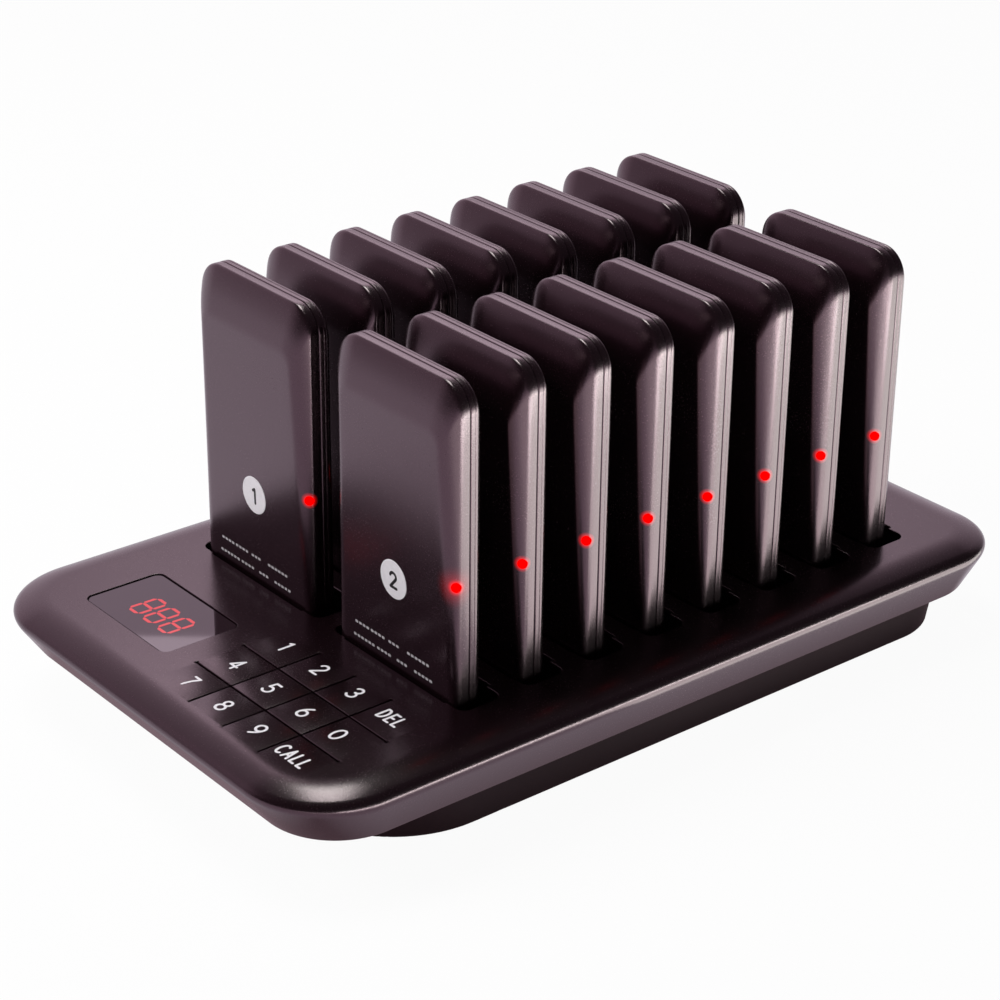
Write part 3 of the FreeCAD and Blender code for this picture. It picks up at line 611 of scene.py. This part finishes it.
inkLift = 0.03  # how far a print stands off its surface, so that the two don't meet

legends = {  # words, middle x and y, height, stroke, width factor
    "1": ("1", 4.4, -86.0, 6.1, 0.84, 1.0), "2": ("2", 21.4, -86.1, 6.1, 0.80, 1.1),
    "3": ("3", 37.9, -86.1, 6.1, 0.80, 1.1), "del": ("DEL", 55.1, -86.4, 5.4, 0.80, 0.88),
    "4": ("4", 4.5, -102.8, 6.1, 0.80, 1.1), "5": ("5", 21.4, -102.8, 6.1, 0.80, 1.1),
    "6": ("6", 37.9, -103.0, 6.0, 0.80, 1.1), "0": ("0", 53.1, -102.9, 6.1, 0.80, 1.15),
    "7": ("7", 4.6, -118.3, 6.0, 0.80, 1.0), "8": ("8", 21.4, -118.4, 6.1, 0.80, 1.1),
    "9": ("9", 37.8, -118.4, 6.1, 0.80, 1.1), "call": ("CALL", 54.9, -118.8, 5.3, 0.80, 0.92),
}


# A key's words, as a flat mesh just above the cover's top.
def makeLegend(name):
    words, x, y, height, thick, widen = legends[name]
    flat, faces = writing(words, height, thick, widen)
    points = atLevel(flat + np.array([x, y]), base["top"] + inkLift)
    makePiece("legend_" + name, [(points, [], faces)], paint["white"], "key_" + name,
              closed=False)


for row, names in enumerate(keypad["names"]):
    for column, name in enumerate(names):
        makeKey(name, column, row)
        makeLegend(name)
print("keypad made")


# The display window: a thin plate with a softened edge, a little below the cover's top.
def makeWindow():
    e, top, share = window["edge"], base["top"] - window["sunk"], base["edgeBend"]
    rows = [atLevel(windowLoop(-e), top), atLevel(windowLoop(-share * e), top - share * e),
            atLevel(windowLoop(0), top - e), atLevel(windowLoop(0), top - window["thick"])]
    makePiece("displayWindow", [ringPart(rows, True, True)], paint["window"], "base",
              ["display_window"])


digits = {"left": [-44.3, -36.9, -29.1], "width": 6.3, "front": -109.0, "height": 11.1, "stroke": 1.25,
          "cut": 1.7, "gap": 0.1, "slant": 0.03, "lift": 0.02}


# A polygon drawn in evenly: each corner moves along its bisector.
def insetPolygon(corners, gap):
    c = np.array(corners, float)
    u, w = unit(np.roll(c, 1, 0) - c), unit(np.roll(c, -1, 0) - c)
    half = np.arccos(np.clip((u * w).sum(1, keepdims=True), -1, 1)) / 2
    return c + unit(u + w) * gap / np.sin(half)


# Seven-segment figures: an eight with its outer corners cut off, divided on the slant at each
# corner. The left bars are the right ones mirrored, the lower ones the upper ones mirrored.
def makeDigits():
    w, h, t, c = digits["width"], digits["height"], digits["stroke"], digits["cut"]
    m = h / 2
    mitre = (w - c / 2, h - c / 2)
    high = [(c / 2, h - c / 2), (c, h), (w - c, h), mitre, (w - t, h - t), (t, h - t)]
    side = [(w, m + t / 2), (w - t / 2, m), (w - t, m + t / 2), (w - t, h - t), mitre, (w, h - c)]
    middle = [(t / 2, m), (t, m + t / 2), (w - t, m + t / 2), (w - t / 2, m), (w - t, m - t / 2),
              (t, m - t / 2)]
    flipped = [[(x, h - y) for x, y in bar] for bar in (high, side)]
    left = [[(w - x, y) for x, y in bar] for bar in (side, flipped[1])]
    points, faces = [], []
    for start in digits["left"]:
        for bar in [high, side, middle] + flipped + left:
            loop = insetPolygon(bar, digits["gap"])
            area = np.sum(loop[:, 0] * np.roll(loop[:, 1], -1) - np.roll(loop[:, 0], -1) * loop[:, 1])
            order = list(range(len(points), len(points) + len(loop)))
            faces.append(order if area > 0 else order[::-1])
            points += (loop + np.column_stack([loop[:, 1] * digits["slant"] + start,
                                               np.full(len(loop), digits["front"])])).tolist()
    made = [(atLevel(np.array(points), base["top"] - window["sunk"] + digits["lift"]), [], faces)]
    makePiece("displayDigits", made, paint["digits"], "base", closed=False)


makeWindow()
makeDigits()
print("display made")


# A rounded four-cornered loop stood upright: its second coordinate becomes the height, and y is
# one depth or one for each point.
def uprightLoop(corners, radius, depth):
    loop = roundLoop(corners, [radius] * 4, pager["arcSteps"], pager["sideSteps"])
    y = depth(loop[:, 1]) if callable(depth) else np.full(len(loop), depth)
    return np.column_stack([loop[:, 0], y, loop[:, 1]])


# The pager's outline, a rounded rectangle drawn in by inset, at one depth.
def bandLoop(inset, y):
    w = pager["width"] / 2 - inset
    return uprightLoop(rectangle(-w, w, inset, pager["height"] - inset), pager["corner"] - inset, y)


# The face panel: a trapezium in a plane that leans out towards the top.
def panelLoop(inset):
    foot, top = pager["panelLift"] + inset, pager["height"] - pager["panelDrop"] - inset
    low, high = [pager["width"] / 2 - pager[key] - inset for key in ("insetFoot", "insetTop")]
    radius = max(pager["panelCorner"] - 0.5 * inset, 0.8)
    return uprightLoop([(-low, foot), (low, foot), (high, top), (-high, top)], radius, panelDepth)


# A height's place on the face panel: 0 at its foot and 1 at its top.
def panelShare(z):
    return (z - pager["panelLift"]) / (pager["height"] - pager["panelDrop"] - pager["panelLift"])


# The panel's depth at a height: the bands, and a wedge that grows evenly from foot to top.
def panelDepth(z):
    band = pager["frontBand"] + pager["rearBand"]
    return -band - pager["panelFoot"] - (pager["panelTop"] - pager["panelFoot"]) * panelShare(z)


# The outline of the raised back, a rounded rectangle drawn in by inset, at one depth.
def backLoop(inset, y):
    w = pager["width"] / 2 - pager["backInset"] - inset
    foot, top = pager["panelLift"] + inset, pager["height"] - pager["backDrop"] - inset
    return uprightLoop(rectangle(-w, w, foot, top), pager["panelCorner"], y)


# Rows between a band's edge and a panel's edge, on a parabola that swells towards the sharp
# corner that the two would make.
def swell(edge, panel):
    middle = (edge + panel) / 2
    corner = np.column_stack([edge[:, 0], panel[:, 1], edge[:, 2]])
    pull = middle + unit(corner - middle) * 2 * pager["bulge"]
    return [(1 - t) ** 2 * edge + 2 * t * (1 - t) * pull + t * t * panel
            for t in np.linspace(0, 1, pager["swellRows"])[1:-2]]


# The front half as one ring of rows: up the inside, over the groove at the parting, along the
# band, out over the bevel and in across the face panel.
def frontShell():
    parting, band = -pager["rearBand"] - pager["gap"], -pager["frontBand"] - pager["rearBand"]
    wall, edge, panel = pager["wall"], bandLoop(0, band), panelLoop(0)
    rows = [bandLoop(wall, band + pager["inside"]), bandLoop(wall, parting),
            bandLoop(pager["grooveDeep"], parting), bandLoop(0, parting - pager["grooveWide"]), edge]
    bevel = swell(edge, panel)
    rows += bevel + [panel, panelLoop(pager["capInset"])]
    setbacks = [0, 0, 0, pager["grooveRound"], pager["bandRound"]]
    setbacks += [0] * len(bevel) + [pager["creaseRound"], 0]
    return [ringPart(softRows(rows, setbacks), True, True)]


# The rear half, in the same way: its lip goes inside the front half, and a fine line runs around
# its band.
def rearShell():
    parting, lip, step = -pager["rearBand"], pager["wall"] + pager["lipGap"], pager["lipStep"]
    edge, panel, low = bandLoop(0, 0), backLoop(0, pager["backProud"]), parting - pager["lipDeep"]
    rows = [bandLoop(lip + step, parting + step), bandLoop(lip + step, low), bandLoop(lip, low),
            bandLoop(lip, parting), bandLoop(pager["grooveDeep"], parting),
            bandLoop(0, parting + pager["grooveWide"])]
    at, half = -pager["lineAt"], pager["lineHalf"]
    rows += [bandLoop(0, at - half), bandLoop(pager["lineDeep"], at), bandLoop(0, at + half), edge]
    bevel = swell(edge, panel)
    rows += bevel + [panel, backLoop(pager["capInset"], pager["backProud"])]
    setbacks = [0] * 5 + [pager["grooveRound"], pager["lineRound"], 0, pager["lineRound"]]
    setbacks += [pager["backRound"]] + [0] * len(bevel) + [pager["creaseRound"], 0]
    return [ringPart(softRows(rows, setbacks), True, True)]


# The same parts, each point moved by one step.
def shifted(parts, move):
    return [(p + move, curved, flat) for p, curved, flat in parts]


# Where the light guide comes out of the right-hand bevel, and the bevel's outward normal there.
# lampShare is 0 at the band's edge and 1 at the panel's.
def lampPlace():
    share = panelShare(pager["lampHeight"])
    proud = pager["panelFoot"] + (pager["panelTop"] - pager["panelFoot"]) * share
    inset = pager["insetFoot"] + (pager["insetTop"] - pager["insetFoot"]) * share
    band, along = pager["frontBand"] + pager["rearBand"], pager["lampShare"]
    out = unit(np.array([proud, -inset, 0.0]))
    at = np.array([pager["width"] / 2 - inset * along, -band - proud * along, pager["lampHeight"]])
    return at + out * pager["lampRise"] * pager["bulge"], out


# the painted glow around each light guide: its falloff and its red
glowShape = {"nearPower": 1.6, "widePower": 2.2, "nearShare": 0.75, "red": (0.95, 0.0, 0.0)}


# Painted glow: red light painted into the plastic's own emission, falling off with the distance
# from each light guide, at once around all of them and widely where reach is larger.
def lampGlow(reach, strength):
    def glow(wire, place):
        at, _ = lampPlace()
        x, y, z = [wire.add("ShaderNodeSeparateXYZ", None, {0: place}, n) for n in range(3)]
        dx = x - x.maths("SIGN") * (pager["column"] * mm) - at[0] * mm
        first = (pager["firstRow"] + at[1] - pager["pitch"] / 2) * mm
        dy = (y - first).maths("FLOORED_MODULO", pager["pitch"] * mm) - pager["pitch"] / 2 * mm
        dz = z - (pager["floor"] + at[2]) * mm
        far = (dx * dx + dy * dy + dz * dz).maths("SQRT") / mm
        radius, blur = pager["lampRadius"], pager["lampBlur"]
        near = ((radius + blur - far) / blur).clamped() ** glowShape["nearPower"]
        wide = ((radius + reach - far) / reach).clamped() ** glowShape["widePower"]
        light = (near * glowShape["nearShare"] + wide * strength).clamped()
        return light.mixColour((0, 0, 0, 1), shade(glowShape["red"]))
    return glow


# The dome's rows: share of the light guide's radius, and rise along its axis.
lampDome = [(0.98, -1.2), (1.0, 0.02), (0.93, 0.14), (0.75, 0.24), (0.45, 0.31), (0.15, 0.34)]


# A shallow dome on a short stem, along the light guide's axis.
def lampPart():
    at, out = lampPlace()
    side = unit(np.cross(out, [0, 0, 1.0]))
    up = np.cross(side, out)
    turn = np.linspace(0, 2 * np.pi, 41)[:-1]
    around = np.cos(turn)[:, None] * side + np.sin(turn)[:, None] * up
    rows = [at + around * r * pager["lampRadius"] + out * rise for r, rise in lampDome]
    return [ringPart(rows, True, True)]


badge = {"x": 0.4, "height": 42.3, "radius": 5.9, "thick": 0.12, "sunk": 0.2, "edge": 0.08, "side": 0.6,
         "figure": 5.5, "stroke": 0.92, "figureDrop": 0.2, "wideOne": 1.25, "wideTwo": 1.05}


# Points of a flat drawing laid on the face panel around (0, height), raised by lift.
def onPanel(flat, height, lift):
    tall = pager["height"] - pager["panelDrop"] - pager["panelLift"]
    slope = (pager["panelTop"] - pager["panelFoot"]) / tall
    up = unit(np.array([0, -slope, 1.0]))
    out = unit(np.array([0, -1.0, -slope]))
    origin = np.array([0, float(panelDepth(np.array(height))), height])
    return origin + flat[:, :1] * np.array([1.0, 0, 0]) + flat[:, 1:2] * up + out * lift


# The number disc: a circle on the face panel, with a low side and a small rounded edge.
def discRows():
    turn = np.linspace(0, 2 * np.pi, 73)[:-1]
    around = np.column_stack([np.cos(turn), np.sin(turn)])
    r, t, middle = badge["radius"], badge["thick"], np.array([badge["x"], 0])
    return [onPanel(middle + around * r, badge["height"], -badge["sunk"]),
            onPanel(middle + around * r, badge["height"], t * badge["side"]),
            onPanel(middle + around * (r - badge["edge"]), badge["height"], t)]


prints = {  # two rows of plain dashes: height, then where each group starts and its number of dashes
    "rows": [(21.3, [(-18.6, 4), (-11.3, 4), (-3.0, 3), (5.6, 6)]),
             (16.8, [(-19.6, 6), (-8.6, 4), (0.6, 3), (8.6, 5)])],
    "long": 1.3, "step": 1.72, "thick": 0.85, "turn": 0.3,
}


# The dashes as small rounded rectangles laid on the face panel.
def dashPart():
    parts = []
    t = prints["thick"] / 2
    for height, groups in prints["rows"]:
        for start, count in groups:
            for n in range(count):
                x = start + n * prints["step"]
                loop = roundLoop(rectangle(x, x + prints["long"], -t, t), [prints["turn"]] * 4, 3)
                points = onPanel(loop, height, inkLift)
                parts.append((points, [], [list(range(len(points)))]))
    return parts


contact = {"x": 12.0, "long": 2.5, "wide": 1.0, "low": 0.25, "high": 1.0, "turn": 0.3}


# The two charging contacts: small rounded blocks under the pager's foot.
def contactParts():
    parts = []
    middle = -pager["rearBand"] - pager["frontBand"] / 2
    for x in (-contact["x"], contact["x"]):
        loop = roundLoop(rectangle(x - contact["long"], x + contact["long"], middle - contact["wide"],
                                   middle + contact["wide"]), [contact["turn"]] * 4, 3)
        parts.append(ringPart([atLevel(loop, contact["low"]), atLevel(loop, contact["high"])], True, True))
    return parts


# the pagers' plastic carries a painted glow around each light guide, wider and stronger on pager 2
paint["pager"] = basePlastic("pagerPlastic", plastic["pagerIor"], lampGlow(2.0, 0.0))
paint["pagerGlow"] = basePlastic("pagerGlowPlastic", plastic["pagerIor"], lampGlow(6.0, 0.30))  # pager 2's
front, rear, lamp, dashes, contacts = frontShell(), rearShell(), lampPart(), dashPart(), contactParts()
disc = ringPart(discRows(), True, True)
for number, x, y in pagerPlaces():
    move = np.array([x, y, pager["floor"]])
    tag, body = "%02d" % number, "pager_%02d" % number
    shell = paint["pagerGlow" if number == 2 else "pager"]
    makePiece("pagerFront_" + tag, shifted(front, move), shell, body,
              [body + "_front"])
    makePiece("pagerRear_" + tag, shifted(rear, move), paint["pager"], body,
              [body + "_rear"])
    makePiece("pagerLamp_" + tag, shifted(lamp, move), paint["lamp"], body)
    makePiece("pagerContacts_" + tag, shifted(contacts, move), paint["brass"], body)
    makePiece("pagerDisc_" + tag, shifted([disc], move), paint["white"], body)
    widen = badge["wideOne"] if number < 10 else badge["wideTwo"]
    flat, faces = writing(str(number), badge["figure"], badge["stroke"], widen)
    flat = flat + np.array([badge["x"], -badge["figureDrop"]])
    figure = onPanel(flat, badge["height"], badge["thick"] + inkLift)
    makePiece("pagerNumber_" + tag, shifted([(figure, [], faces)], move), paint["black"], body,
              closed=False)
    if number < 3:
        makePiece("pagerDashes_" + tag, shifted(dashes, move), paint["grey"], body,
                  closed=False)
print("pagers made")


nodeFinish = {"merge": 1e-6, "softAngle": 32}


# A node kept from the solids: its own material, and soft shading where neighbouring faces turn by
# less than softAngle degrees.
def dressNode(name, material):
    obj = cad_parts[name]
    obj.data.materials.clear()
    obj.data.materials.append(material)
    obj.data.polygons.foreach_set("use_smooth", [True] * len(obj.data.polygons))
    weld = obj.modifiers.new("weld", "WELD")
    weld.merge_threshold = nodeFinish["merge"]
    split = obj.modifiers.new("split", "EDGE_SPLIT")
    split.split_angle = math.radians(nodeFinish["softAngle"])


kept = {"bottom_cover": "tub", "charging_rack": "rack", "charging_board": "board", "charging_pins": "brass",
        "main_board": "board", "key_switches": "dark", "display_module": "dark", "buzzer": "dark",
        "antenna": "copper", "board_ribbon": "ribbon", "power_jack": "dark", "cover_screws": "steel",
        "board_screws": "steel", "rubber_feet": "rubber"}
for name, key in kept.items():
    dressNode(name, paint[key])
print("kept nodes dressed:", len(kept))

stage = {
    "size": 6.0, "white": 1.0, "shadow": 0.045, "floorGrey": 0.86,
    # the floor's painted shadow under the base: how far it blends out, and its colour
    "paintedShadeFade": 0.008, "paintedShadeUnderBase": (0.40, 0.28, 0.32), "floorTone": (1.01, 0.93, 1.02),
    "dim": 0.06, "ceiling": 0.58, "ceilingSoft": 0.25,
    "wallWay": (-0.9, 0.3), "wallFrom": 0.10, "wallSoft": 0.70, "wallTone": (1.04, 0.86, 0.98),
}


# The floor: white where the camera and the reflections look, with a share left matte, so that
# it keeps the object's shadow. Under the base, reflections find a painted shadow: the floor's
# light there is painted dark, and grows evenly with the distance outwards from the base's outline.
def makeFloor():
    h = stage["size"] / 2
    mesh = bpy.data.meshes.new("floor")
    mesh.from_pydata([(-h, -h, 0), (h, -h, 0), (h, h, 0), (-h, h, 0)], [], [(0, 1, 2, 3)])
    obj = bpy.data.objects.new("floor", mesh)
    bpy.context.scene.collection.objects.link(obj)
    material, wire, place = newMaterial("floorWhite")
    matte = wire.add("ShaderNodeBsdfDiffuse", None, {"Color": (stage["floorGrey"],) * 3 + (1,)})
    seen, glossy, through = [wire.add("ShaderNodeLightPath", output="Is %s Ray" % kind)
                             for kind in ("Camera", "Glossy", "Transmission")]
    x, y = [wire.add("ShaderNodeSeparateXYZ", None, {0: place}, n).maths("ABSOLUTE") for n in (0, 1)]
    out = (x - base["halfWidth"] * mm).maths("MAXIMUM", y - base["halfLength"] * mm)
    # painted shadow under the base, seen only in reflections: the camera always sees full light
    lit = ((out + stage["paintedShadeFade"]) / (2 * stage["paintedShadeFade"])).clamped().maths("MAXIMUM", seen)
    openFloor = seen.mixColour(shade(stage["floorTone"]), (1, 1, 1, 1))
    tone = lit.mixColour(shade(stage["paintedShadeUnderBase"]), openFloor)
    glow = wire.add("ShaderNodeEmission", None, {"Color": tone, "Strength": stage["white"]})
    share = ((1 - stage["shadow"]) * seen).maths("MAXIMUM", glossy).maths("MAXIMUM", through)
    mixed = wire.add("ShaderNodeMixShader", None, {0: share, 1: matte, 2: glow})
    wire.add("ShaderNodeOutputMaterial", None, {"Surface": mixed})
    mesh.materials.append(material)


# White studio walls behind and to the left of the object, under a dim ceiling, in a dim room.
# The light falls off evenly with the height of the direction, from the walls' top upwards, and
# with how far the direction turns from the middle of the walls. Seen past the floor's edge, the
# background is white like the floor.
def makeWorld():
    world = bpy.data.worlds.new("studio")
    bpy.context.scene.world = world
    world.use_nodes = True
    world.node_tree.nodes.clear()
    wire = Wire(world.node_tree)
    way = wire.add("ShaderNodeTexCoord", output="Generated")
    x, y, height = [wire.add("ShaderNodeSeparateXYZ", None, {0: way}, n) for n in range(3)]
    facing = x * stage["wallWay"][0] + y * stage["wallWay"][1]
    wall = ((facing - stage["wallFrom"]) / stage["wallSoft"]).clamped()
    below = ((height - stage["ceiling"]) / -stage["ceilingSoft"] + 1.0).clamped()
    room = (wall * below).mixColour(shade(stage["wallTone"], stage["dim"]), shade(stage["wallTone"]))
    tone = wire.add("ShaderNodeLightPath", output="Is Camera Ray").mixColour(room, (1, 1, 1, 1))
    soft = wire.add("ShaderNodeBackground", None, {"Color": tone, "Strength": stage["white"]})
    wire.add("ShaderNodeOutputWorld", None, {"Surface": soft})


lamps = {  # place, aimed at, width, height, watts, what shows it (shine or matte) and its colour
    "overhead": ((-0.3, -0.1, 1.1), (0, 0, 0), 0.5, 0.5, 6.0, "matte", (1, 1, 1)),
    "frontLeft": ((-0.6, -0.9, 0.7), (0, 0, 0.05), 0.6, 0.6, 9.0, "matte", (1, 1, 1)),
    "cornerBox": ((-0.235, 0.10, 0.904), (0.06, -0.12, 0.03), 0.26, 0.46, 3.7, "shine", (0.95, 1.20, 1.02)),
    "backBox": ((-0.387, 0.317, 0.46), (0.0, 0.0, 0.126), 0.45, 0.22, 0.38, "shine", (1.04, 0.95, 1.0)),
    "sideCard": ((0.465, 0.26, 0.002), (0.465, 0.26, 1.0), 0.60, 0.68, 4.8, "shine", (0.95, 1.18, 0.97)),
    "stripCard": ((0.1315, 0.225, 0.002), (0.1315, 0.225, 1.0), 0.067, 0.45, 0.33, "shine", (1, 1.14, 0.98)),
    "frontCard": ((0.345, -0.34, 0.002), (0.345, -0.34, 1.0), 0.35, 0.52, 0.80, "shine", (1, 1.14, 0.98)),
    "rimCard": ((0.30, 0.035, 0.017), (0.0, 0.035, 0.017), 0.50, 0.030, 0.60, "shine", (0.97, 1.18, 1.02)),
}


# An object at its place, turned so that its own down axis points at the target.
def aim(obj, place, target):
    obj.location = place
    obj.rotation_euler = (Vector(target) - Vector(place)).to_track_quat("-Z", "Y").to_euler()


# Area lamps from the table. A shine lamp shows only in gloss, and a matte one lights only the
# diffuse share.
def makeLamps():
    for name, (place, target, width, height, watts, shown, colour) in lamps.items():
        light = bpy.data.lights.new(name, "AREA")
        light.shape, light.size, light.size_y, light.energy = "RECTANGLE", width, height, watts
        light.color = colour
        obj = bpy.data.objects.new(name, light)
        bpy.context.scene.collection.objects.link(obj)
        obj.visible_diffuse, obj.visible_glossy = shown != "shine", shown != "matte"
        aim(obj, place, target)


camera = {"place": (0.5579, -0.4613, 0.4006), "forward": (-0.6966, 0.5708, -0.4347),
          "right": (0.630, 0.777, 0.0104), "lens": 96.06}


# The camera, its axes made square: right loses its share along the view, and up is across both.
def makeCamera():
    lens = bpy.data.cameras.new("camera")
    lens.lens, lens.sensor_width, lens.sensor_fit = camera["lens"], 36.0, "HORIZONTAL"
    obj = bpy.data.objects.new("camera", lens)
    bpy.context.scene.collection.objects.link(obj)
    back = -Vector(camera["forward"]).normalized()
    right = Vector(camera["right"])
    right = (right - back * right.dot(back)).normalized()
    turn = Matrix((right, back.cross(right), back)).transposed().to_4x4()
    obj.matrix_world = Matrix.Translation(camera["place"]) @ turn
    bpy.context.scene.camera = obj


makeFloor()
makeWorld()
makeLamps()
makeCamera()
bpy.context.scene.view_settings.view_transform = "Standard"
print("stage, lamps and camera made")
